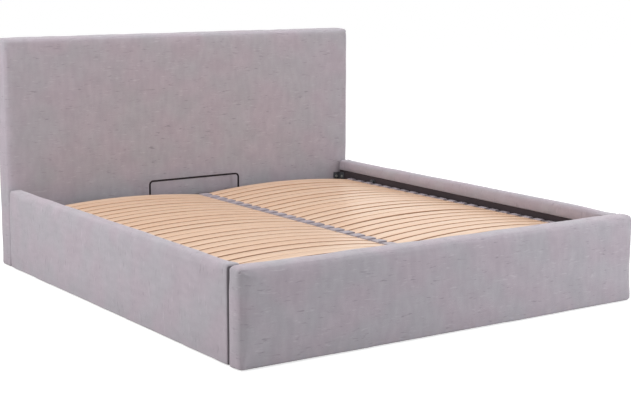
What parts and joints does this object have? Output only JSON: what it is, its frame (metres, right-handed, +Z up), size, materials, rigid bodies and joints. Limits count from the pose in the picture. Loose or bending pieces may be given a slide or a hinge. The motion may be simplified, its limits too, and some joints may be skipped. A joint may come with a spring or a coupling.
{
  "type": "storage bed",
  "caption": "Upholstered double bed with a plain padded headboard, low padded rails, and a sprung slatted base that lifts at its foot end on gas struts over a storage box.",
  "frame": {"origin": "on the floor under the middle of the bed, at the bottom centre of its bounding box", "axes": "+X across the bed to its right, +Y towards the headboard, +Z up"},
  "size_m": [1.94, 2.19, 1.07],
  "materials": {
    "upholstery": "soft grey-lilac chenille with short slubs",
    "lining": "dark woven lining",
    "back_cloth": "dark non-woven cloth",
    "timber": "planed softwood",
    "panel_board": "raw particle board",
    "floor_sheet": "smooth fibreboard",
    "birch_slat": "laminated birch, clear satin lacquer",
    "holder_plastic": "moulded grey-lilac plastic",
    "black_plastic": "moulded black plastic",
    "bumper_rubber": "black rubber",
    "zinc_steel": "bright zinc plating",
    "bracket_steel": "dark grey powder coat",
    "strut_rod_steel": "polished rod",
    "strut_paint": "black gloss paint",
    "frame_paint": "black powder coat"
  },
  "bodies": {
    "root": {"corner_bolts": "zinc_steel", "corner_brackets": "bracket_steel", "floor_battens": "timber", "footboard_board": "panel_board", "footboard_cover": "upholstery", "footboard_lining": "lining", "glides": "black_plastic", "headboard_back_cloth": "back_cloth", "headboard_board": "panel_board", "headboard_cover": "upholstery", "headboard_frame": "timber", "left_fixed_plate": "frame_paint", "left_floor_sheet": "floor_sheet", "left_rail_board": "panel_board", "left_rail_cover": "upholstery", "left_rail_lining": "lining", "pivot_pins": "zinc_steel", "rest_brackets": "frame_paint", "rest_bumpers": "bumper_rubber", "right_fixed_plate": "frame_paint", "right_floor_sheet": "floor_sheet", "right_rail_board": "panel_board", "right_rail_cover": "upholstery", "right_rail_lining": "lining", "strut_studs": "zinc_steel", "wood_screws": "zinc_steel"},
    "base": {"left_side_tube": "frame_paint", "right_side_tube": "frame_paint", "head_tube": "frame_paint", "foot_tube": "frame_paint", "centre_tube": "frame_paint", "cross_tubes": "frame_paint", "tube_end_caps": "black_plastic", "mattress_hoop": "frame_paint", "left_hanger_plate": "frame_paint", "right_hanger_plate": "frame_paint", "hanger_bolts": "zinc_steel", "centre_slat_holders": "holder_plastic", "left_slat_holders": "holder_plastic", "right_slat_holders": "holder_plastic", "left_slats_1": "birch_slat", "left_slats_2": "birch_slat", "left_slats_3": "birch_slat", "left_slats_4": "birch_slat", "left_slats_5": "birch_slat", "left_slats_6": "birch_slat", "right_slats_1": "birch_slat", "right_slats_2": "birch_slat", "right_slats_3": "birch_slat", "right_slats_4": "birch_slat", "right_slats_5": "birch_slat", "right_slats_6": "birch_slat"},
    "left_strut_cylinder": {"left_strut_cylinder": "strut_paint"},
    "right_strut_cylinder": {"right_strut_cylinder": "strut_paint"},
    "left_strut_rod": {"left_strut_rod": "strut_rod_steel"},
    "right_strut_rod": {"right_strut_rod": "strut_rod_steel"}
  },
  "joints": [
    {"name": "base_lift", "type": "hinge", "parent": "root", "child": "base", "pos_m": [0, 0.69, 0.284], "axis": [-1, 0, 0], "range_deg": [0, 42]},
    {"name": "left_strut_swing", "type": "hinge", "parent": "root", "child": "left_strut_cylinder", "pos_m": [-0.889, 0.63, 0.059], "axis": [-1, 0, 0], "range_deg": [0, 22.2]},
    {"name": "left_strut_slide", "type": "slide", "parent": "left_strut_cylinder", "child": "left_strut_rod", "axis": [0, -0.739, 0.6738], "range_m": [0, 0.1375]},
    {"name": "right_strut_swing", "type": "hinge", "parent": "root", "child": "right_strut_cylinder", "pos_m": [0.889, 0.63, 0.059], "axis": [-1, 0, 0], "range_deg": [0, 22.2]},
    {"name": "right_strut_slide", "type": "slide", "parent": "right_strut_cylinder", "child": "right_strut_rod", "axis": [0, -0.739, 0.6738], "range_m": [0, 0.1375]}
  ],
  "couplings": [
    {"joint": "left_strut_swing", "follows": "base_lift", "ratio": 0.52212},
    {"joint": "left_strut_slide", "follows": "base_lift", "m_per_rad": 0.18598},
    {"joint": "right_strut_swing", "follows": "base_lift", "ratio": 0.52212},
    {"joint": "right_strut_slide", "follows": "base_lift", "m_per_rad": 0.18598}
  ]
}
